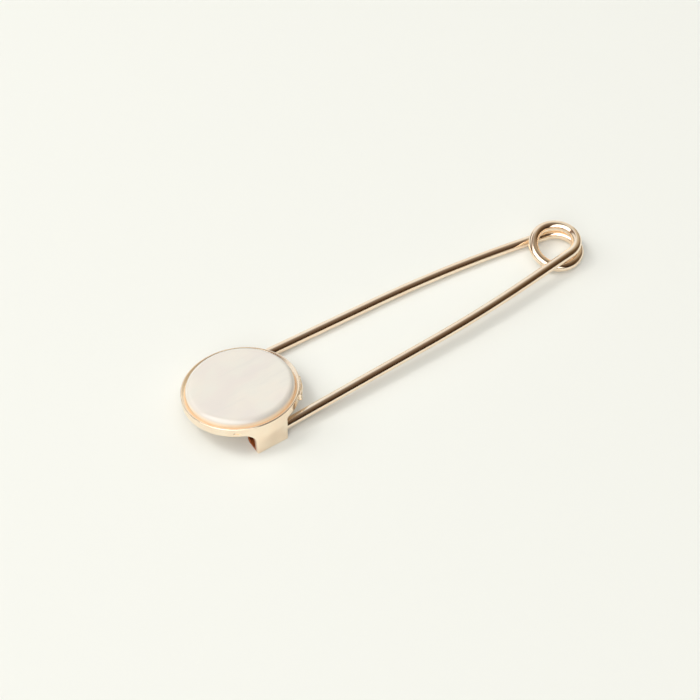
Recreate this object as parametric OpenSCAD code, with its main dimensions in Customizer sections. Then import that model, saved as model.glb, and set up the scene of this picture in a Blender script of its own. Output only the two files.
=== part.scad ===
// Kilt pin: a round cast tray with a shell inlay on one sprung wire that coils back on itself.
// It lies on its back on the surface z = 0.
// +X runs from the tray to the coil, +Y from the pin leg to the fixed leg.

/* [Wire] */
// Thickness of the wire
wire_d = 1.75; // [1.5:0.05:1.8]
// Height of the wire's middle at the top of the coil
coil_top_z = 3.15; // [3.15:0.05:3.3]
// Height of the wire's middle where the coil passes under the pin leg
coil_low_z = 1.1; // [1.05:0.05:1.1]
// Distance from the middle of the tray to the middle of the coil
coil_x = 64.2; // [60:0.1:70]
// Sideways offset of the coil from the tray's middle line
coil_y = -1.9; // [-2.1:0.1:-1.7]
// Bend radius of the coil's top turn
top_r = 3.75; // [3.7:0.05:3.8]
// Bend radius of the half turn that drops from the top turn to the low one
drop_r = 4.1; // [4.05:0.05:4.15]
// Bend radius of the low turn
low_r = 4.05; // [4:0.05:4.1]

/* [Pin leg] */
// How far the pin leg leans outward where it leaves the coil, in degrees
pin_lean = 6.2; // [6.1:0.1:6.3]
// Straight stretch of the pin leg next to the coil
pin_straight = 10.5; // [10:0.5:11]
// Bend radius of the pin leg's long curve
pin_bend_r = 255; // [250:5:260]
// Turn of the long curve, in degrees
pin_bend = 4.9; // [4.85:0.05:4.95]
// Height of the pin's middle where it lies in the catch
pin_catch_z = 1.8; // [1.75:0.05:1.85]
// Length of the ground point
point_length = 6.5; // [5:0.5:7]

/* [Fixed leg] */
// How far the fixed leg leans outward where it leaves the coil, in degrees
fixed_lean = 9.8; // [9.6:0.1:10]
// Straight stretch of the fixed leg next to the coil
fixed_straight = 3.1; // [2.5:0.1:4]
// Bend radius of the fixed leg's long curve
fixed_bend_r = 226; // [210:2:240]
// Turn of the long curve, in degrees
fixed_bend = 8; // [7.8:0.1:8.2]
// Last straight stretch of the fixed leg, up to its end under the tray
fixed_last = 35; // [34:0.5:36]

/* [Tray] */
// Outer diameter of the tray
tray_d = 20; // [19.6:0.1:20.4]
// Height of the tray's wall
tray_h = 1.75; // [1.7:0.05:1.8]
// Width of the rim round the inlay
rim_w = 0.8; // [0.7:0.05:0.9]
// How far the rim falls towards the inlay
rim_drop = 0.3; // [0.2:0.05:0.4]
// Thickness of the tray's floor
tray_floor = 0.6; // [0.5:0.05:0.7]
// Tilt of the tray towards the fixed leg, in degrees
tray_tilt = 9.2; // [9:0.1:9.4]
// Lean of the tray towards the coil, in degrees
tray_lean = 1.5; // [1.3:0.1:1.7]

/* [Catch] */
// Distance of the catch's outer face from the middle of the tray
catch_out = 9.55; // [9.5:0.01:9.6]
// Depth of the catch below the tray's top
catch_drop = 6.15; // [6.1:0.05:6.2]
// End of the catch on the side away from the coil, along the tray's middle line
catch_start = -2.95; // [-3.1:0.05:-2.8]
// End of the catch on the side of the coil
catch_end = 3.3; // [3.1:0.05:3.5]
// Slant of that end: how much further it reaches at the top
catch_slant = 0.45; // [0.2:0.05:0.6]
// Thickness of the catch's outer wall at its foot
catch_wall = 0.42; // [0.4:0.01:0.44]
// Thickness of the catch's floor and lip
catch_floor = 0.35; // [0.3:0.05:0.4]
// Inside width of the catch from the outer wall to the lip
catch_width = 2.4; // [2.3:0.05:2.5]
// Height of the lip's edge above the surface
lip_z = 0.85; // [0.8:0.05:0.9]

/* [Inlay] */
// Thickness of the shell disc
shell_t = 2.05; // [1.9:0.05:2.1]
// Rounding of the shell disc's upper edge
shell_round = 0.9; // [0.6:0.05:1]

/* [Hidden] */
$fn = 96;
wire_r = wire_d / 2;
wire_fn = 48;
arc_fn = 180;
tray_r = tray_d / 2;
seat_r = tray_r - rim_w;
// clearance between pieces that fit together
fit_gap = 0.02;
// overlap that keeps two forms of one piece from only touching
small = 0.01;
// bands that join two stretches of the wire: their length, and how much they stand out from it
band_l = 0.2;
band_rise = 0.02;
low_z = wire_r + band_rise;

// the tray's top stands as high as its catch, whose foot rests on the surface
foot_x = (catch_start + catch_end - catch_slant) / 2;
foot_y = catch_out * cos(tray_tilt) + catch_drop * sin(tray_tilt);
tray_z = catch_drop * cos(tray_tilt) - catch_out * sin(tray_tilt) + foot_x * sin(tray_lean);
// the foot is made longer by this much and then cut flat at the surface
foot_extra = 0.3;

// middle of the whole object's outline, seen from above: it stands over the origin
middle_x = (coil_x + low_r + wire_r - tray_r) / 2;
middle_y = (tray_r * cos(tray_tilt) - foot_y) / 2;

// coil: each turn's middle follows from where the turn before it ends
top_start = -90 + pin_lean;
drop_y = coil_y + top_r - drop_r;
low_y = drop_y - drop_r + low_r;
low_end = 450 - fixed_lean;
top_fall = coil_top_z - coil_low_z;
low_fall = coil_low_z - low_z;

pin_root = [coil_x + top_r * cos(top_start), coil_y + top_r * sin(top_start), coil_top_z];
fixed_root = [coil_x + low_r * cos(low_end), low_y + low_r * sin(low_end), low_z];
fixed_heading = 180 - fixed_lean;

// the pin leg's point starts just inside the catch
point_x = catch_end + 0.5;
point_mid_l = 0.55 * point_length;
point_mid_r = 0.6 * wire_r;
point_end_r = 0.08;
pin_run = pin_root.x - point_x;
pin_fall = atan((coil_top_z - pin_catch_z) / pin_run);
pin_last = pin_run - pin_straight - pin_bend_r * sin(pin_bend);

// where the fixed leg's last straight stretch starts, seen from above
fixed_turn = point_on(fixed_root, fixed_heading, fixed_straight);
fixed_after = after_turn(fixed_turn, fixed_heading, fixed_bend_r, fixed_bend);

// saddle under the tray that holds the fixed leg's end
saddle_l = 10;
saddle_w = 3.2;
saddle_drop = 0.85;
saddle_v = fixed_after.y + fixed_after.x * tan(180 - fixed_heading - fixed_bend);
saddle_y = (saddle_v + (tray_h + saddle_drop / 2) * sin(tray_tilt)) / cos(tray_tilt);

// sharp edges of the casting that are broken, at the top of the rim and under the tray
rim_edge = 0.1;
tray_edge = 0.2;

// catch: rounded corner inside its outer wall, and the flare that widens the wall up to the tray
corner_r = 0.9;
corner_w = 0.35;
flare_r = 2;
flare_l = 1;
flare_h = 1.2;
flare_drop = 0.5;
catch_depth = 5;

// rough stub that the casting channel left on the wall, between two angles round the tray
stub_from = -46;
stub_to = -18;
stub_out = 0.35;
stub_in = 0.3;
stub_h = 1.4;
stub_round = 0.3;

function point_on(p, heading, length) = [p.x + length * cos(heading), p.y + length * sin(heading)];
function after_turn(p, heading, r, angle) = [
    p.x + r * (sin(heading + angle) - sin(heading)),
    p.y - r * (cos(heading + angle) - cos(heading))];

// thin band, a hair thicker than the wire, where two stretches that meet across the X axis become one
module band() {
    rotate([0, 90, 0]) cylinder(h = band_l, r = wire_r + band_rise, center = true, $fn = wire_fn);
}

// straight stretch along +X; what follows it starts at its end
module straight(length) {
    rotate([0, 90, 0]) cylinder(h = length, r = wire_r, $fn = wire_fn);
    translate([length, 0, 0]) {
        band();
        children();
    }
}

// bend that starts along +X and turns left by angle, or right where angle is below 0
module bend(radius, angle) {
    side = sign(angle);
    translate([0, side * radius, 0]) {
        rotate(side > 0 ? -90 : 90 + angle) arc(radius, abs(angle));
        rotate(angle) translate([0, -side * radius, 0]) {
            band();
            children();
        }
    }
}

// stretch of wire round the Z axis from +X through angle
module arc(radius, angle) {
    rotate_extrude(angle = angle, $fn = arc_fn) translate([radius, 0]) circle(r = wire_r, $fn = wire_fn);
}

module on_surface() {
    translate([-middle_x, -middle_y, 0]) children();
}

// the tray's own frame: z = 0 at the top of its rim
module tray_frame() {
    on_surface() translate([0, 0, tray_z]) rotate([-tray_tilt, tray_lean, 0]) children();
}

// flat bar with its upper outer corner rounded
module rounded_bar(length, height, radius) {
    square([length - radius, height]);
    square([length, height - radius]);
    translate([length - radius, height - radius]) circle(r = radius);
}

module cup() {
    seat_z = tray_floor - tray_h;
    rotate_extrude() polygon([
        [0, -tray_h], [tray_r - tray_edge, -tray_h], [tray_r, tray_edge - tray_h],
        [tray_r, -rim_edge], [tray_r - rim_edge, 0], [seat_r, -rim_drop], [seat_r, seat_z], [0, seat_z]]);
}

// end view of the catch: outer wall, floor that lies along the surface, lip, and a rounded corner inside
module catch_section() {
    floor_l = catch_wall + catch_width + catch_floor;
    corner_z = catch_floor + corner_r;
    bulge = tray_r - catch_out + small;
    catch_top = catch_drop - tray_h + tray_floor / 2;
    translate([-catch_out, -catch_drop]) {
        translate([-bulge, -foot_extra]) square([bulge + catch_wall, catch_top + foot_extra]);
        rotate(tray_tilt) {
            translate([-bulge, -foot_extra])
                square([bulge + floor_l - catch_floor / 2, catch_floor + foot_extra]);
            translate([floor_l - catch_floor, catch_floor / 2]) square([catch_floor, lip_z - catch_floor]);
            translate([floor_l - catch_floor / 2, catch_floor / 2]) circle(d = catch_floor);
            translate([floor_l - catch_floor / 2, lip_z - catch_floor / 2]) circle(d = catch_floor);
        }
        difference() {
            translate([catch_wall - small, 0]) square([corner_w, corner_z]);
            translate([catch_wall + corner_r, corner_z]) circle(r = corner_r);
        }
    }
}

// side view of the catch: one end slants, the other flares into the tray's wall
module catch_side() {
    top = tray_floor / 2 - tray_h;
    foot = -catch_drop - foot_extra;
    polygon([[catch_start, foot], [catch_end - catch_slant, foot],
        [catch_end, -tray_h], [catch_end, top], [catch_start, top]]);
    difference() {
        translate([catch_start - flare_l, -tray_h - flare_h])
            square([flare_l + small, flare_h + tray_floor / 2]);
        translate([catch_start - flare_r, -tray_h - flare_h - flare_drop]) circle(r = flare_r);
    }
}

// outer form of the catch: from the tray's round wall above to a straight foot below
module catch_body() {
    start = catch_start - flare_l;
    reach = catch_end - start;
    hull() {
        translate([0, 0, -tray_h / 2]) linear_extrude(small) intersection() {
            circle(r = tray_r);
            translate([start, -tray_r]) square([reach, catch_depth]);
        }
        translate([start, -catch_out, -catch_drop - foot_extra]) cube([reach, catch_depth, foot_extra]);
    }
}

module catch() {
    intersection() {
        catch_body();
        rotate([90, 0, 90]) translate([0, 0, -tray_r]) linear_extrude(tray_d) catch_section();
        rotate([90, 0, 0]) linear_extrude(tray_d) catch_side();
    }
}

// two cheeks under the tray, either side of the fixed leg's end
module saddle() {
    translate([-saddle_l / 2, saddle_y - saddle_w / 2, -tray_h - saddle_drop])
        cube([saddle_l, saddle_w, saddle_drop + tray_floor / 2]);
}

module stub() {
    rotate(stub_from) rotate_extrude(angle = stub_to - stub_from)
        translate([tray_r - stub_in, -tray_h]) rounded_bar(stub_in + stub_out, stub_h, stub_round);
}

// the fixed leg's last straight stretch, length long and r thick
module last_stretch(length, r) {
    on_surface() translate([fixed_after.x, fixed_after.y, low_z])
        rotate([0, 90, fixed_heading + fixed_bend]) cylinder(h = length, r = r, $fn = wire_fn);
}

module below_surface() {
    on_surface() translate([-tray_d, -tray_d, -tray_d]) cube([2 * tray_d, 2 * tray_d, tray_d]);
}

module tray() {
    color("burlywood") difference() {
        tray_frame() {
            cup();
            catch();
            saddle();
            stub();
        }
        last_stretch(fixed_last + fit_gap, wire_r + fit_gap);
        below_surface();
    }
}

module shell_disc() {
    color("seashell") tray_frame() translate([0, 0, tray_floor - tray_h + fit_gap])
        rotate_extrude() rounded_bar(seat_r - fit_gap, shell_t, shell_round);
}

module fixed_leg() {
    color("rosybrown") {
        on_surface() translate(fixed_root) rotate(fixed_heading)
            straight(fixed_straight) bend(fixed_bend_r, fixed_bend);
        last_stretch(fixed_last, wire_r);
    }
}

// half or part of a turn whose ends on the Y axis differ in height by fall, the far one being the higher
module sloping_turn(radius, fall, start, angle) {
    rotate([atan(fall / 2 / radius), 0, 0]) rotate(start) arc(norm([radius, fall / 2]), angle);
}

module coil() {
    color("rosybrown") on_surface() {
        translate([coil_x, coil_y, coil_top_z]) rotate(top_start) arc(top_r, 90 - top_start);
        translate([coil_x, drop_y, coil_low_z + top_fall / 2]) sloping_turn(drop_r, top_fall, 90, 180);
        translate([coil_x, low_y, low_z + low_fall / 2]) sloping_turn(low_r, -low_fall, -90, low_end - 270);
        translate([coil_x, drop_y + drop_r, coil_top_z]) band();
        translate([coil_x, drop_y - drop_r, coil_low_z]) band();
    }
}

module pin_leg() {
    point_outline = [
        [0, 0], [wire_r, 0], [point_mid_r, point_mid_l], [point_end_r, point_length], [0, point_length]];
    color("rosybrown") on_surface() translate(pin_root) rotate([0, 0, 180 + pin_lean])
        translate([2 * fit_gap, 0, 0]) rotate([0, pin_fall, 0])
            straight(pin_straight) bend(pin_bend_r, -pin_bend) straight(pin_last)
                rotate([0, 90, 0]) rotate_extrude($fn = wire_fn) polygon(point_outline);
}

tray();
shell_disc();
fixed_leg();
coil();
pin_leg();
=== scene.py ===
"""Kilt pin: the looks of its tray, shell inlay and sprung wire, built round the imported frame.

Sizes are in millimetres in the part's own layout, whose origin is under the middle of the tray.
They are turned into metres in the frame where a mesh is made.
+X runs from the tray to the coil, +Y from the pin to the fixed leg.
"""

import math

import bpy
import numpy as np
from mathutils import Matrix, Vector


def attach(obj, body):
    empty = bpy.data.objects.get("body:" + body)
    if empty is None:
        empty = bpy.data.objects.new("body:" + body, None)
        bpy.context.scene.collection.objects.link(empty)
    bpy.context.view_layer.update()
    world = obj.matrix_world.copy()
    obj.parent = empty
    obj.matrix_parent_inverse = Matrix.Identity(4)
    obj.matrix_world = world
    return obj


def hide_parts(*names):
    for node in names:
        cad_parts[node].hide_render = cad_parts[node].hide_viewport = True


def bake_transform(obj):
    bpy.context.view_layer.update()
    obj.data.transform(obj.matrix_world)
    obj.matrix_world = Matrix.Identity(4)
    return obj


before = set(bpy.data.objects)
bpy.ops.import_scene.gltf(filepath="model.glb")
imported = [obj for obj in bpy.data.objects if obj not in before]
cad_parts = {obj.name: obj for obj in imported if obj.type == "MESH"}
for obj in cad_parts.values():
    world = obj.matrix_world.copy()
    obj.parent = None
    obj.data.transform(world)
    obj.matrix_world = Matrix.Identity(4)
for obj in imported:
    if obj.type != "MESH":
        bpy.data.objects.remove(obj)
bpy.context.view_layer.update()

MM = 0.001
# clearance between pieces that fit together, and under the coil
FIT_GAP = 0.02

# tray
TRAY_R, TRAY_H, TRAY_FLOOR = 10.0, 1.75, 0.6
RIM_W, RIM_DROP, RIM_EDGE = 0.8, 0.3, 0.1
SEAT_R = TRAY_R - RIM_W
TILT, LEAN = math.radians(9.2), math.radians(1.5)

# catch below the tray's near edge
CATCH_OUT, CATCH_DROP, CATCH_START, CATCH_END, CATCH_SLANT = 9.55, 6.15, -2.95, 3.3, 0.45
CATCH_WALL, CATCH_FLOOR, CATCH_WIDTH, LIP_Z = 0.42, 0.35, 2.4, 0.85

# inlay
SHELL_R, SHELL_T, SHELL_ROUND = SEAT_R - FIT_GAP, 2.05, 1.05

# wire
WIRE_R = 0.875
COIL_X, COIL_Y = 64.2, -1.9
COIL_TOP_Z, COIL_PASS_Z, COIL_LOW_Z = 3.15, 1.1, WIRE_R + FIT_GAP
TOP_R, DROP_R, LOW_R = 3.75, 4.1, 4.05
PIN_LEAN, PIN_STRAIGHT, PIN_BEND_R, PIN_BEND = 6.2, 10.5, 255.0, 4.9
PIN_CATCH_Z, POINT_X = 1.8, CATCH_END + 0.5
POINT_LENGTH, POINT_END_R, POINT_BLUNTNESS = 6.5, 0.05, 0.9
FIXED_LEAN, FIXED_STRAIGHT, FIXED_BEND_R, FIXED_BEND, FIXED_LAST = 9.8, 3.1, 226.0, 8.0, 35.0

# a point in the middle of the fixed leg's channel under the tray
CHANNEL_X, CHANNEL_Y = -4.48, 6.5

# fineness of the meshes
WIRE_STEP, WIRE_SIDES = 0.3, 40
SHELL_SIDES = 180
NET_STEP = 0.12
# corners of the grid round the tray, placed so that no face of the tray lies in one of its planes
NET_LOW, NET_HIGH = (-10.65, -10.83, -6.62), (10.8, 10.6, 0.4)

# where the object lies
FOOT_Y = CATCH_OUT * math.cos(TILT) + CATCH_DROP * math.sin(TILT)
MIDDLE_X = (COIL_X + LOW_R + WIRE_R - TRAY_R) / 2
MIDDLE_Y = (TRAY_R * math.cos(TILT) - FOOT_Y) / 2
TRAY_Z = (CATCH_DROP * math.cos(TILT) - CATCH_OUT * math.sin(TILT)
          + (CATCH_START + CATCH_END - CATCH_SLANT) / 2 * math.sin(LEAN))

# the tray's own axes, in the part's layout
TRAY_AXES = np.array([
    [math.cos(LEAN), 0, -math.sin(LEAN)],
    [-math.sin(TILT) * math.sin(LEAN), math.cos(TILT), -math.sin(TILT) * math.cos(LEAN)],
    [math.cos(TILT) * math.sin(LEAN), math.sin(TILT), math.cos(TILT) * math.cos(LEAN)]])


def to_frame(points):
    """Points of the part's layout, in millimetres, as metres in the frame."""
    return (np.asarray(points, float) - [MIDDLE_X, MIDDLE_Y, 0]) * MM


def from_tray(points):
    """Points given in the tray's own axes, in millimetres, in the part's layout."""
    return np.asarray(points, float) @ TRAY_AXES + [0, 0, TRAY_Z]


def mesh_object(name, points, faces, normals=None, flat=0):
    """A smooth-shaded object from points in the frame, with its last faces flat.

    Normals, where they are given, are one for each point.
    """
    mesh = bpy.data.meshes.new(name)
    mesh.from_pydata([tuple(p) for p in points], [], faces)
    smooth = np.ones(len(mesh.polygons), bool)
    smooth[len(smooth) - flat:] = False
    mesh.polygons.foreach_set("use_smooth", smooth)
    if normals is not None:
        corner_point = np.empty(len(mesh.loops), int)
        mesh.loops.foreach_get("vertex_index", corner_point)
        corner_normal = np.array(normals, float)[corner_point]
        first_flat = mesh.polygons[len(smooth) - flat].loop_start if flat else len(corner_point)
        corner_normal[first_flat:] = 0
        mesh.normals_split_custom_set([tuple(n) for n in corner_normal])
    mesh.update()
    made = bpy.data.objects.new(name, mesh)
    bpy.context.scene.collection.objects.link(made)
    return made


def keep_place(made, name, places):
    """Stores a place of each point, in millimetres, for the materials to read in metres."""
    attribute = made.data.attributes.new(name, "FLOAT_VECTOR", "POINT")
    attribute.data.foreach_set("vector", (np.asarray(places, float) * MM).astype(np.float32).ravel())


def quads_between(rings, sides, first):
    """Quads between rings of points that follow one another, from the point numbered first."""
    faces = []
    for ring in range(rings - 1):
        here = first + ring * sides
        there = here + sides
        for i in range(sides):
            j = (i + 1) % sides
            faces.append((here + i, there + i, there + j, here + j))
    return faces


# Camera, lamps and floor

CAMERA_TARGET = to_frame([21.6, -0.4, 0])
CAMERA_AZIMUTH, CAMERA_ELEVATION = math.radians(33.4), math.radians(51.3)
CAMERA_DISTANCE, NEAREST = 0.3427, 0.01
LENS_MM, SENSOR_MM = 102.86, 36.0

# name, place and side in metres, power in watts
LAMPS = (
    ("key", (-0.6, 0.63, 1.4), 0.5, 6.9),
    ("overhead", (0, 0, 1.5), 1.6, 11.4),
    ("left", (-0.9, -0.8, 1.1), 1.2, 10.1),
    ("back", (-1.0, 0.9, 1.0), 1.0, 9.2),
    ("right", (1.3, 0.1, 1.0), 1.0, 3.1))
LAMP_COLOR = (1.0, 1.0, 0.97)

FLOOR_REACH = 30.0


def add_camera():
    """The photograph's view, from the pin leg's side."""
    towards = Vector((-math.sin(CAMERA_AZIMUTH) * math.cos(CAMERA_ELEVATION),
                      -math.cos(CAMERA_AZIMUTH) * math.cos(CAMERA_ELEVATION),
                      math.sin(CAMERA_ELEVATION)))
    data = bpy.data.cameras.new("camera")
    data.lens, data.sensor_width = LENS_MM, SENSOR_MM
    data.clip_start = NEAREST
    camera = bpy.data.objects.new("camera", data)
    camera.location = Vector(CAMERA_TARGET) + towards * CAMERA_DISTANCE
    camera.rotation_euler = towards.to_track_quat("Z", "Y").to_euler()
    bpy.context.scene.collection.objects.link(camera)
    bpy.context.scene.camera = camera


def add_lamp(name, place, side, watts):
    """A soft square lamp that lights the floor and the shell and isn't mirrored in the metal."""
    data = bpy.data.lights.new(name, "AREA")
    data.size, data.energy, data.color = side, watts, LAMP_COLOR
    lamp = bpy.data.objects.new(name, data)
    lamp.location = place
    lamp.rotation_euler = Vector(place).to_track_quat("Z", "Y").to_euler()
    lamp.visible_glossy = False
    bpy.context.scene.collection.objects.link(lamp)


def add_floor(finish):
    """The surface that the pin lies on."""
    reach = FLOOR_REACH
    corners = [(-reach, -reach, 0), (reach, -reach, 0), (reach, reach, 0), (-reach, reach, 0)]
    floor = mesh_object("floor", corners, [(0, 1, 2, 3)])
    floor.data.materials.append(finish)


# Shader nodes

class Value:
    """A number or vector socket in a node tree. Arithmetic on it adds Math nodes."""

    def __init__(self, graph, socket):
        self.graph, self.socket = graph, socket

    def _math(self, operation, first, second):
        return self.graph.node("ShaderNodeMath", {"operation": operation}, {0: first, 1: second})

    def __add__(self, other):
        return self._math("ADD", self, other)

    def __radd__(self, other):
        return self._math("ADD", other, self)

    def __sub__(self, other):
        return self._math("SUBTRACT", self, other)

    def __rsub__(self, other):
        return self._math("SUBTRACT", other, self)

    def __mul__(self, other):
        return self._math("MULTIPLY", self, other)

    def __rmul__(self, other):
        return self._math("MULTIPLY", other, self)


class Graph:
    """A node tree and the one method that adds to it, with short names for what is used often."""

    def __init__(self, tree):
        self.tree = tree
        tree.nodes.clear()

    def node(self, kind, settings=None, inputs=None, out=0):
        """Adds a node and returns one of its outputs.

        Its settings come first, then the values or links of its sockets.
        """
        made = self.tree.nodes.new(kind)
        for key, value in (settings or {}).items():
            if key == "stops":
                ramp = made.color_ramp.elements
                while len(ramp) < len(value):
                    ramp.new(0.5)
                for element, (position, shade) in zip(ramp, value):
                    element.position, element.color = position, shade
            else:
                setattr(made, key, value)
        for key, value in (inputs or {}).items():
            if isinstance(value, Value):
                self.tree.links.new(value.socket, made.inputs[key])
            else:
                made.inputs[key].default_value = value
        return Value(self, made.outputs[out]) if made.outputs else None

    def attribute(self, name):
        return self.node("ShaderNodeAttribute", {"attribute_name": name}, out="Vector")

    def part(self, vector, axis):
        """One part of a vector: X, Y or Z."""
        return self.node("ShaderNodeSeparateXYZ", None, {0: vector}, out=axis)

    def mix(self, factor, first, second):
        """Colour between two colours."""
        return self.node("ShaderNodeMix", {"data_type": "RGBA"}, {0: factor, 6: first, 7: second}, out=2)

    def color_ramp(self, factor, stops):
        return self.node("ShaderNodeValToRGB", {"stops": stops}, {0: factor})

    def ramp(self, factor, low, high):
        """Value from 0 at low to 1 at high, held outside them."""
        return self.node("ShaderNodeMapRange", {"interpolation_type": "SMOOTHSTEP"},
                         {"Value": factor, "From Min": low, "From Max": high})

    def fade(self, factor, low, high):
        """Value from 1 at low to 0 at high, held outside them."""
        return 1 - self.ramp(factor, low, high)

    def mapped(self, place, scale, turn=0.0):
        """A place stretched and then turned about Z."""
        return self.node("ShaderNodeMapping", None,
                         {"Vector": place, "Rotation": (0, 0, turn), "Scale": scale})

    def noise(self, place, scale, detail=2.0, roughness=0.5):
        """Soft noise with about scale bumps in a metre."""
        return self.node("ShaderNodeTexNoise", None,
                         {"Vector": place, "Scale": scale, "Detail": detail, "Roughness": roughness})

    def bump(self, height, strength, distance):
        """Normals of a surface that rises by up to a distance, in metres."""
        return self.node("ShaderNodeBump", None,
                         {"Strength": strength, "Distance": distance, "Height": height})


def material(name, build, **fixed):
    """A material: build returns the varying sockets, and fixed holds those that are the same all over."""
    made = bpy.data.materials.new(name)
    made.use_nodes = True
    graph = Graph(made.node_tree)
    inputs = {key.replace("_", " "): value for key, value in fixed.items()}
    inputs.update(build(graph))
    shader = graph.node("ShaderNodeBsdfPrincipled", None, inputs)
    graph.node("ShaderNodeOutputMaterial", None, {"Surface": shader})
    return made


def color(red, green, blue):
    return (red, green, blue, 1.0)


# Finishes

def cast_gold(graph):
    """Plated casting: bright, with a soft swell of the surface, fine pits and slightly uneven plating.

    Inside the catch the colour turns dark red: painted shade in the hollow.
    """
    deep, pale, painted_catch_shade = color(0.97, 0.8, 0.62), color(0.985, 0.85, 0.68), color(0.45, 0.15, 0.06)
    past_wall, before_lip = (0.45 * MM, 0.7 * MM), (3.2 * MM, 3.4 * MM)
    below_tray = (-2.3 * MM, -1.9 * MM)
    place = graph.attribute("tray_place")
    inward = graph.part(place, "Y") + CATCH_OUT * MM
    up = graph.part(place, "Z")
    cloud = graph.noise(place, 350.0, 3.0)
    swell = graph.noise(place, 600.0)
    grain = graph.noise(place, 6000.0)
    tint = graph.mix(graph.ramp(cloud, 0.35, 0.7), deep, pale)
    # painted shade: dark red inside the catch, past its outer wall, before the lip and below the tray
    inside = graph.ramp(inward, *past_wall) * graph.fade(inward, *before_lip) * graph.fade(up, *below_tray)
    return {"Base Color": graph.mix(inside, tint, painted_catch_shade),
            "Roughness": 0.14 + 0.1 * cloud,
            "Normal": graph.bump(swell + grain * 0.05, 0.25, 0.06 * MM)}


def drawn_gold(graph):
    """Plated wire: mirror bright, with faint lines along its length."""
    deep, pale = color(0.96, 0.78, 0.6), color(0.98, 0.84, 0.67)
    place = graph.attribute("wire_place")
    cloud = graph.noise(graph.mapped(place, (0.25, 1, 1)), 700.0, 3.0)
    lines = graph.noise(graph.mapped(place, (0.02, 1, 1)), 9000.0)
    return {"Base Color": graph.mix(graph.ramp(cloud, 0.35, 0.7), deep, pale),
            "Roughness": 0.1 + 0.08 * lines,
            "Normal": graph.bump(cloud + lines * 0.06, 0.2, 0.04 * MM)}


def pearl(graph):
    """Mother-of-pearl: pale cream with faint cooler and warmer patches.

    Thin growth lines run across it towards the coil. Near its rim it is painted peach and made to glow:
    painted reflection of the gold setting, and painted light on the shaded shoulder.
    """
    cream, warm_cream = color(0.79, 0.72, 0.665), color(0.83, 0.765, 0.68)
    cool_cream, line_grey = color(0.8, 0.765, 0.69), color(0.75, 0.705, 0.65)
    painted_gold_reflection, painted_glow = color(0.86, 0.72, 0.56), color(0.95, 0.68, 0.45)
    edge_start, edge_low, edge_top = (SHELL_R - 0.5) * MM, -0.1 * MM, 0.6 * MM
    place = graph.attribute("tray_place")
    level = graph.node("ShaderNodeVectorMath", {"operation": "MULTIPLY"}, {0: place, 1: (1, 1, 0)})
    radius = graph.node("ShaderNodeVectorMath", {"operation": "LENGTH"}, {0: level}, out="Value")
    warm = graph.noise(place, 120.0)
    cool = graph.noise(graph.mapped(place, (1.0, 1.4, 1.0)), 190.0)
    growth = graph.noise(graph.mapped(place, (0.25, 1.6, 1), turn=0.5), 500.0, 4.0, 0.6)
    ground = graph.mix(graph.ramp(warm, 0.35, 0.65), cream, warm_cream)
    patched = graph.mix(graph.ramp(cool, 0.4, 0.7) * 0.7, ground, cool_cream)
    lined = graph.mix(graph.ramp(growth, 0.5, 0.75) * 0.5, patched, line_grey)
    up = graph.part(place, "Z")
    # painted reflection and painted light: peach colour and peach glow on the low shoulder near the rim
    edge = graph.ramp(radius, edge_start, SHELL_R * MM) * graph.fade(up, edge_low, edge_top)
    return {"Base Color": graph.mix(edge, lined, painted_gold_reflection),
            "Roughness": 0.16 + 0.08 * growth,
            "Emission Color": graph.mix(edge, color(0, 0, 0), painted_glow),
            "Normal": graph.bump(growth, 0.1, 0.02 * MM)}


def pale_floor(graph):
    """White table top that glows a little, as over a light box."""
    return {"Base Color": color(0.75, 0.75, 0.71), "Emission Color": color(1.0, 1.0, 0.95)}


def light_world():
    """The room that the polished metal mirrors.

    It has a cream wall behind, a white box high on the left, and dim brown in front and low down.
    """
    world = bpy.data.worlds.new("studio")
    world.use_nodes = True
    world.cycles_visibility.diffuse = False
    bpy.context.scene.world = world
    graph = Graph(world.node_tree)
    direction = graph.node("ShaderNodeTexCoord", out="Generated")
    right, behind, above = (graph.part(direction, axis) for axis in "XYZ")

    depth = behind * 0.5 + 0.5
    room = graph.color_ramp(depth, [
        (0.03, color(0.02, 0.009, 0.004)), (0.1, color(0.055, 0.031, 0.016)),
        (0.21, color(0.11, 0.072, 0.045)), (0.36, color(0.165, 0.12, 0.088)),
        (0.55, color(0.26, 0.21, 0.17)), (0.65, color(0.39, 0.345, 0.29)),
        (0.7, color(0.64, 0.62, 0.58)), (0.75, color(0.84, 0.84, 0.82)),
        (0.93, color(0.95, 0.97, 0.97))])
    right_wall = graph.color_ramp(depth, [
        (0.1, color(0.06, 0.035, 0.018)), (0.4, color(0.15, 0.095, 0.05)),
        (0.52, color(0.4, 0.32, 0.23)), (0.7, color(0.62, 0.53, 0.4)),
        (0.85, color(0.92, 0.9, 0.84))])
    surroundings = graph.mix(graph.ramp(right, 0.35, 0.55), room, right_wall)

    left = graph.fade(right + above * 0.35, -0.02, 0.2)
    dark_beam = (graph.fade(right, 0.08, 0.24) * graph.ramp(behind, 0.42, 0.5)
                 * graph.fade(behind, 0.6, 0.75))
    low_left = left * graph.fade(above, 0.25, 0.35)
    low_right = (graph.ramp(right, 0.5, 0.7) * graph.fade(above, 0.12, 0.3)
                 * graph.fade(behind, 0.45, 0.6))
    white_box = left * graph.fade(behind, 0.42, 0.5) * graph.ramp(above, 0.22, 0.32)
    for zone, shade in (
            (dark_beam, color(0.19, 0.11, 0.07)), (low_left, color(0.1, 0.06, 0.04)),
            (low_right, color(0.1, 0.055, 0.03)), (white_box, color(2.4, 2.4, 2.35))):
        surroundings = graph.mix(zone, surroundings, shade)

    shine = graph.node("ShaderNodeBackground", None, {"Color": surroundings, "Strength": 1.0})
    graph.node("ShaderNodeOutputWorld", None, {"Surface": shine})


# Wire

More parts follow.
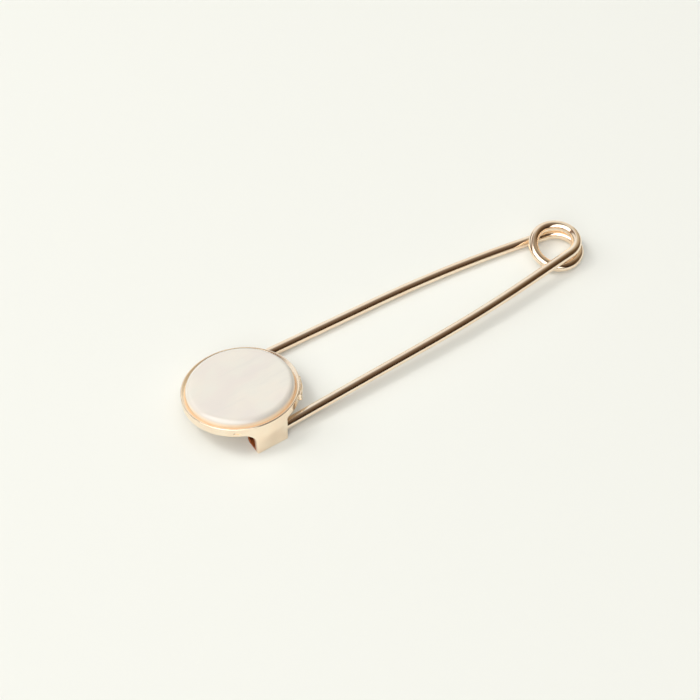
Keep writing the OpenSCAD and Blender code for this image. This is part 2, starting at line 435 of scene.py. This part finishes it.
class Walk:
    """Middle line of a bent wire, as points a step apart, from straight stretches and level arcs."""

    def __init__(self, place, heading):
        self.place, self.heading = np.array(place, float), math.radians(heading)
        self.points = [self.place.copy()]

    def straight(self, length):
        count = max(1, round(length / WIRE_STEP))
        for _ in range(count):
            self._go(length / count)
        return self

    def bend(self, radius, angle):
        """Turns left by angle, or right where it is below 0."""
        length = radius * math.radians(abs(angle))
        count = max(1, round(length / WIRE_STEP))
        for _ in range(count):
            self.heading += math.radians(angle) / count / 2
            self._go(length / count)
            self.heading += math.radians(angle) / count / 2
        return self

    def _go(self, length):
        self.place = self.place + length * np.array([math.cos(self.heading), math.sin(self.heading)])
        self.points.append(self.place.copy())


def slope(level, y, start, end, high, low):
    """Makes heights fall from high to low as a half turn crosses from one side of the coil to the other."""
    share = (y[start:end + 1] - y[start]) / (y[end] - y[start])
    level[start:end + 1] = high + (low - high) * share


def eased(level, start, end):
    """Heights with their kinks at the coil rounded off."""
    reach = 6
    kernel = np.ones(2 * reach + 1) / (2 * reach + 1)
    soft = np.convolve(level, kernel, mode="same")
    out = level.copy()
    out[start - reach:end + reach] = soft[start - reach:end + reach]
    return out


def pin_line(root):
    """The pin leg's places and heights, from the coil to the end of its point."""
    run = root[0] - POINT_X
    last = run - PIN_STRAIGHT - PIN_BEND_R * math.sin(math.radians(PIN_BEND)) + POINT_LENGTH
    walk = Walk(root, 180 + PIN_LEAN).straight(PIN_STRAIGHT).bend(PIN_BEND_R, -PIN_BEND).straight(last)
    places = np.array(walk.points)
    gone = np.linalg.norm(places - root, axis=1)
    return places, COIL_TOP_Z - gone * (COIL_TOP_Z - PIN_CATCH_Z) / run


def coil_line(root):
    """The coil's places and heights from its top end, and the walk at its low end."""
    walk = Walk(root, PIN_LEAN).bend(TOP_R, 180 - PIN_LEAN)
    drop_start = len(walk.points) - 1
    walk.bend(DROP_R, 180)
    drop_end = len(walk.points) - 1
    walk.bend(LOW_R, 180 - FIXED_LEAN)
    places = np.array(walk.points)
    level = np.full(len(places), COIL_LOW_Z)
    level[:drop_start + 1] = COIL_TOP_Z
    slope(level, places[:, 1], drop_start, drop_end, COIL_TOP_Z, COIL_PASS_Z)
    far = drop_end + int(np.argmax(places[drop_end:, 1]))
    slope(level, places[:, 1], drop_end, far, COIL_PASS_Z, COIL_LOW_Z)
    return places, level, walk


def wire_line():
    """The whole wire's middle line from the point to the hidden end, and where the coil starts and ends."""
    top_start = math.radians(PIN_LEAN - 90)
    root = [COIL_X + TOP_R * math.cos(top_start), COIL_Y + TOP_R * math.sin(top_start)]
    pin, pin_level = pin_line(root)
    coil, coil_level, walk = coil_line(root)
    fixed = Walk(walk.place, math.degrees(walk.heading))
    fixed.straight(FIXED_STRAIGHT).bend(FIXED_BEND_R, FIXED_BEND).straight(FIXED_LAST)

    places = np.concatenate([pin[::-1], coil[1:], fixed.points[1:]])
    level = np.concatenate([pin_level[::-1], coil_level[1:], np.full(len(fixed.points) - 1, COIL_LOW_Z)])
    coil_start = len(pin) - 1
    coil_end = coil_start + len(coil) - 1
    return np.column_stack([places, eased(level, coil_start, coil_end)]), coil_start, coil_end


class WireSkin:
    """Rings of points and normals, square to the wire's middle line at each of its points."""

    def __init__(self, line):
        self.gone = np.concatenate([[0], np.cumsum(np.linalg.norm(np.diff(line, axis=0), axis=1))])
        ground = np.sin(np.clip(self.gone / POINT_LENGTH, 0, 1) * math.pi / 2) ** POINT_BLUNTNESS
        radius = POINT_END_R + (WIRE_R - POINT_END_R) * ground
        self.angle = np.linspace(0, 2 * math.pi, WIRE_SIDES, endpoint=False)
        along = np.gradient(line, axis=0)
        pace = np.linalg.norm(along, axis=1)
        tangent = along / pace[:, None]
        side = np.cross(tangent, [0, 0, 1])
        side /= np.linalg.norm(side, axis=1)[:, None]
        up = np.cross(side, tangent)
        outward = (np.cos(self.angle)[None, :, None] * side[:, None]
                   + np.sin(self.angle)[None, :, None] * up[:, None])
        taper = np.gradient(radius) / pace
        normals = outward - taper[:, None, None] * tangent[:, None]
        self.normals = normals / np.linalg.norm(normals, axis=2)[..., None]
        self.rings = line[:, None] + radius[:, None, None] * outward

    def piece(self, name, first, last):
        """The stretch of the wire between two of its rings, closed at both ends."""
        rings = self.rings[first:last + 1]
        count = len(rings)
        faces = quads_between(count, WIRE_SIDES, 0)
        faces.append(tuple(range(WIRE_SIDES)))
        faces.append(tuple((count - 1) * WIRE_SIDES + i for i in reversed(range(WIRE_SIDES))))
        normals = self.normals[first:last + 1].reshape(-1, 3)
        made = mesh_object(name, to_frame(rings.reshape(-1, 3)), faces, normals, flat=2)
        unrolled = np.empty((count, WIRE_SIDES, 3))
        unrolled[..., 0] = self.gone[first:last + 1, None]
        unrolled[..., 1] = WIRE_R * np.cos(self.angle)
        unrolled[..., 2] = WIRE_R * np.sin(self.angle)
        keep_place(made, "wire_place", unrolled)
        return made


def build_wire(finish):
    """The three stretches of the wire. The pin's rides the pin and the fixed leg's the frame; the coil's is
    attached to neither.
    """
    line, coil_start, coil_end = wire_line()
    skin = WireSkin(line)
    pin = skin.piece("pin_wire", 0, coil_start)
    coil = skin.piece("coil_wire", coil_start, coil_end)
    fixed = skin.piece("fixed_wire", coil_end, len(line) - 1)
    for piece, node in ((pin, "pin_leg"), (coil, "coil"), (fixed, "fixed_leg")):
        piece.data.materials.append(finish)
        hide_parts(node)
    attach(pin, "pin")
    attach(fixed, "frame")
    gap = 0.03
    low = to_frame([COIL_X, COIL_Y, COIL_LOW_Z + WIRE_R + gap])
    high = to_frame([COIL_X, COIL_Y, COIL_TOP_Z - WIRE_R - gap])
    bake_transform(coil)


# Tray: distances from its forms, in the tray's own axes

def soft_min(a, b, reach):
    """The smaller of two distances, with a fillet where they are alike."""
    mix = np.clip(0.5 + 0.5 * (b - a) / reach, 0, 1)
    return b * (1 - mix) + a * mix - reach * mix * (1 - mix)


def soft_max(a, b, reach):
    """The larger of two distances, with a rounding where they are alike."""
    return -soft_min(-a, -b, reach)


def slab(value, low, high):
    """Distance outside a slab of space between two values."""
    return np.maximum(low - value, value - high)


def cup_distance(x, y, z):
    """Shallow round cup whose rim falls inward from a rounded edge, with a softer lower edge."""
    rim_round, foot_round, seat_round = 0.32, 0.3, 0.06
    r = np.hypot(x, y)
    fall = math.atan(RIM_DROP / (RIM_W - RIM_EDGE))
    outward = np.maximum(r - SEAT_R, -RIM_EDGE)
    rim = (z + RIM_DROP) * math.cos(fall) - outward * math.sin(fall)
    body = soft_max(r - TRAY_R, rim, rim_round)
    body = soft_max(body, -TRAY_H - z, foot_round)
    seat = np.maximum(r - SEAT_R, TRAY_FLOOR - TRAY_H - z)
    return soft_max(body, -seat, seat_round)


def catch_depth(z):
    """How far down the catch a height is: 0 at the tray's underside, 1 at its foot."""
    return (-TRAY_H - z) / (CATCH_DROP - TRAY_H)


def catch_swell(z):
    """How much of the tray's round wall there is in the catch's face: 1 at the top, 0 low down."""
    swell_start, swell_reach = 0.03, 0.75
    swell = 1 - np.clip((catch_depth(z) - swell_start) / swell_reach, 0, 1)
    return swell * swell * (3 - 2 * swell)


def catch_face(x, y, z):
    """Distance outside the catch's outer face, which carries on from the tray's wall."""
    least_square = 1.0
    round_wall = np.sqrt(np.maximum(TRAY_R ** 2 - x * x, least_square)) - CATCH_OUT
    return -y - (CATCH_OUT + round_wall * catch_swell(z))


def catch_hook(inward, rise, swell, outer):
    """The catch's section: its outer wall, the floor along the surface, and the lip."""
    wall_swell, foot_extra, corner_fillet, lip_fillet = 0.25, 0.4, 0.7, 0.25
    lip_middle = CATCH_WALL + CATCH_WIDTH + CATCH_FLOOR / 2
    wall = np.maximum(inward - CATCH_WALL - wall_swell * swell, outer)
    floor = np.maximum(slab(rise, -foot_extra, CATCH_FLOOR), inward - lip_middle)
    lip_up = np.clip(rise, CATCH_FLOOR, LIP_Z - CATCH_FLOOR / 2) - rise
    lip = np.hypot(inward - lip_middle, lip_up) - CATCH_FLOOR / 2
    return soft_min(soft_min(wall, np.maximum(floor, outer), corner_fillet), lip, lip_fillet)


def catch_end_ring(x, inward, rise):
    """Ring across the catch's far end, which closes it round the pin's point."""
    disc_in, disc_up, disc_r, disc_t = 1.55, 1.35, 1.75, 0.36
    hole_in, hole_up, half_width, half_height = 1.9, 1.4, 1.0, 1.3
    hole_round = 0.14
    disc = np.hypot(inward - disc_in, rise - disc_up) - disc_r
    disc = np.maximum(slab(x, CATCH_START, CATCH_START + disc_t), disc)
    hole = (np.hypot((inward - hole_in) / half_width, (rise - hole_up) / half_height) - 1) * half_width
    return soft_max(disc, -hole, hole_round)


def catch_distance(x, y, z):
    """The catch, with a slanted end towards the coil and a far end that flares into the tray."""
    ring_fillet, end_round, sharp = 0.1, 0.14, 0.02
    flare_reach, flare_bend, slant_reach = 1.6, 0.45, 1.2
    outer = catch_face(x, y, z)
    inward = y + CATCH_OUT
    rise = z + CATCH_DROP - inward * math.tan(TILT)
    hook = catch_hook(inward, rise, catch_swell(z), outer)
    hook = np.maximum(soft_min(hook, catch_end_ring(x, inward, rise), ring_fillet), outer)
    near_end = x - (CATCH_END - CATCH_SLANT * np.clip(catch_depth(z), 0, slant_reach))
    flare = flare_bend * np.maximum(0, flare_reach + z + TRAY_H) ** 2
    far_end = CATCH_START - flare - x
    hook = soft_max(hook, soft_max(near_end, far_end, sharp), end_round)
    return soft_max(hook, z + TRAY_H - TRAY_FLOOR / 2, sharp)


def saddle_distance(x, y, z):
    """Block under the tray that the fixed leg's channel splits into two cheeks."""
    half_length, half_width, drop, middle = 5.0, 1.6, 0.85, 6.75
    side_round, foot_round = 0.3, 0.2
    block = soft_max(np.abs(x) - half_length, np.abs(y - middle) - half_width, side_round)
    return soft_max(block, slab(z, -TRAY_H - drop, -TRAY_H + TRAY_FLOOR / 2), foot_round)


# ragged surface of the stub: height of a wave, its turn along the wall and up it, and where it starts
STUB_WAVES = (
    (0.06, 2.6, 0.0, 0.7),
    (0.04, 1.7, 4.0, 0.0),
    (0.015, 7.0, 0.0, 0.0))


def stub_distance(x, y, z):
    """Rough stub where the casting channel was broken off. It stands out less towards one end."""
    middle, half_width, out, thinning = math.radians(-32), 2.35, 0.34, 0.05
    root, low, high = 0.5, 0.05 - TRAY_H, -0.3
    side_round, level_round = 0.35, 0.25
    along = (np.arctan2(y, x) - middle) * TRAY_R
    ragged = sum(height * np.sin(along * across + z * up + start)
                 for height, across, up, start in STUB_WAVES)
    face = TRAY_R + out + ragged - thinning * along
    block = soft_max(slab(np.hypot(x, y), TRAY_R - root, face), np.abs(along) - half_width, side_round)
    return soft_max(block, slab(z, low, high), level_round)


def slit_distance(x, y, z):
    """Small slanting slit left in the wall."""
    angle, drop, slant = math.radians(-124), 1.07, 0.1
    half_length, half_height, depth = 0.65, 0.12, 0.25
    along = (np.arctan2(y, x) - angle) * TRAY_R
    inward = TRAY_R - np.hypot(x, y)
    up = z + drop + slant * along
    share = np.sqrt((along / half_length) ** 2 + (up / half_height) ** 2 + (inward / depth) ** 2)
    return (share - 1) * half_height


def channel_distance(points):
    """Distance outside the round channel for the fixed leg, from points in the part's layout."""
    heading = math.radians(FIXED_LEAN - FIXED_BEND)
    middle_y = CHANNEL_Y - (points[..., 0] - CHANNEL_X) * math.tan(heading)
    return np.hypot(points[..., 1] - middle_y, points[..., 2] - COIL_LOW_Z) - WIRE_R - FIT_GAP


def tray_distance(points):
    """Signed distance to the casting, roughly, in the tray's own axes."""
    catch_fillet, saddle_fillet, stub_fillet, channel_round, foot_round = 0.25, 0.3, 0.2, 0.02, 0.12
    x, y, z = points[..., 0], points[..., 1], points[..., 2]
    body = soft_min(cup_distance(x, y, z), catch_distance(x, y, z), catch_fillet)
    body = np.maximum(body, np.minimum(np.hypot(x, y) - TRAY_R, catch_face(x, y, z)))
    body = soft_min(body, saddle_distance(x, y, z), saddle_fillet)
    body = soft_min(body, stub_distance(x, y, z), stub_fillet)
    body = np.maximum(body, -slit_distance(x, y, z))
    layout = from_tray(points)
    body = soft_max(body, -channel_distance(layout), channel_round)
    return soft_max(body, -layout[..., 2], foot_round)


# Tray: its mesh

def cell_points(field):
    """The mean crossing in each cell that the surface crosses, in steps, and the cells' numbers."""
    shape = np.array(field.shape) - 1
    total = np.zeros((*shape, 3))
    hits = np.zeros(shape)

    def corner(i, j, k):
        return field[i:i + shape[0], j:j + shape[1], k:k + shape[2]]

    for axis in range(3):
        others = [a for a in range(3) if a != axis]
        for i, j in ((0, 0), (0, 1), (1, 0), (1, 1)):
            start = [0, 0, 0]
            start[others[0]], start[others[1]] = i, j
            end = list(start)
            end[axis] = 1
            a, b = corner(*start), corner(*end)
            crossed = (a < 0) != (b < 0)
            share = np.where(crossed, a / np.where(crossed, a - b, 1), 0)
            spot = np.zeros((*shape, 3)) + start
            spot[..., axis] += share
            total += spot * crossed[..., None]
            hits += crossed
    used = hits > 0
    number = np.full(shape, -1)
    number[used] = np.arange(used.sum())
    return np.argwhere(used) + total[used] / hits[used][:, None], number


def cell_faces(inside, number):
    """A quad across each grid edge that the surface crosses, from the four cells round it."""
    faces = []
    for axis in range(3):
        others = [(axis + 1) % 3, (axis + 2) % 3]
        cut = [slice(1, -1)] * 3
        cut[axis] = slice(0, -1)
        moved = list(cut)
        moved[axis] = slice(1, None)
        a, b = inside[tuple(cut)], inside[tuple(moved)]
        for flag, turn in ((a & ~b, 1), (b & ~a, -1)):
            base = np.argwhere(flag)
            base[:, others] += 1
            ring = []
            for i, j in ((0, 0), (1, 0), (1, 1), (0, 1))[::turn]:
                cell = base.copy()
                cell[:, others[0]] -= 1 - i
                cell[:, others[1]] -= 1 - j
                ring.append(number[tuple(cell.T)])
            faces.append(np.stack(ring, 1))
    return np.concatenate(faces)


def surface_net(distance, low, high, step):
    """Closed mesh of the zero surface of a distance, from a grid of values a step apart."""
    axes = [np.arange(a, b + step, step) for a, b in zip(low, high)]
    field = distance(np.stack(np.meshgrid(*axes, indexing="ij"), -1))
    points, number = cell_points(field)
    return np.array(low) + points * step, cell_faces(field < 0, number)


def steepest(distance, points):
    """Direction in which a distance grows fastest, and how fast."""
    reach, least = 0.01, 1e-6
    out = np.empty_like(points)
    for axis in range(3):
        shift = np.zeros(3)
        shift[axis] = reach
        out[:, axis] = (distance(points + shift) - distance(points - shift)) / (2 * reach)
    size = np.linalg.norm(out, axis=1)
    return out / np.maximum(size, least)[:, None], size


def build_tray(finish):
    """The casting: a net of its surface, whose points are then drawn onto it."""
    rounds, least_slope, farthest = 3, 0.3, NET_STEP / 2
    points, faces = surface_net(tray_distance, NET_LOW, NET_HIGH, NET_STEP)
    for _ in range(rounds):
        direction, size = steepest(tray_distance, points)
        move = np.clip(tray_distance(points) / np.maximum(size, least_slope), -farthest, farthest)
        points = points - direction * move[:, None]
    direction, _ = steepest(tray_distance, points)
    tray = mesh_object("tray_casting", to_frame(from_tray(points)), faces.tolist(), direction @ TRAY_AXES)
    keep_place(tray, "tray_place", points)
    tray.data.materials.append(finish)
    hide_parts("tray")
    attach(tray, "frame")


# Inlay

def shell_outline(bottom, top):
    """Half section of the disc, as radius and height, from its middle over the shoulder to the bottom."""
    table_start, table_steps, shoulder_steps = 0.6, 12, 10
    outline = [(r, top) for r in np.linspace(table_start, SHELL_R - SHELL_ROUND, table_steps)]
    for turn in np.linspace(0, math.pi / 2, shoulder_steps)[1:]:
        outline.append((SHELL_R - SHELL_ROUND + SHELL_ROUND * math.sin(turn),
                        top - SHELL_ROUND + SHELL_ROUND * math.cos(turn)))
    return outline + [(SHELL_R, bottom), (SHELL_R / 2, bottom)]


def build_shell(finish):
    """Flat disc with a rounded shoulder, turned from its outline."""
    bottom = TRAY_FLOOR - TRAY_H + FIT_GAP
    top = bottom + SHELL_T
    outline = shell_outline(bottom, top)
    angle = np.linspace(0, 2 * math.pi, SHELL_SIDES, endpoint=False)
    points = [[0, 0, top]]
    for r, z in outline:
        points += [[r * math.cos(a), r * math.sin(a), z] for a in angle]
    points.append([0, 0, bottom])

    ring = list(range(SHELL_SIDES))
    following = ring[1:] + ring[:1]
    last_ring, last_point = 1 + (len(outline) - 1) * SHELL_SIDES, len(points) - 1
    faces = [(0, 1 + i, 1 + j) for i, j in zip(ring, following)]
    faces += quads_between(len(outline), SHELL_SIDES, 1)
    faces += [(last_point, last_ring + j, last_ring + i) for i, j in zip(ring, following)]

    shell = mesh_object("shell_inlay", to_frame(from_tray(points)), faces)
    keep_place(shell, "tray_place", points)
    shell.data.materials.append(finish)
    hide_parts("shell_disc")
    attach(shell, "frame")


# The object and its stage

bpy.context.scene.view_settings.view_transform = "Standard"
add_camera()
light_world()
add_floor(material("pale_floor", pale_floor, Roughness=0.9, Emission_Strength=0.125))
for lamp in LAMPS:
    add_lamp(*lamp)

build_tray(material("cast_gold", cast_gold, Metallic=1.0))
# the shell's emission is painted light at its rim
build_shell(material("pearl", pearl, Coat_Weight=0.8, Coat_Roughness=0.08, Emission_Strength=0.3))
build_wire(material("drawn_gold", drawn_gold, Metallic=1.0))
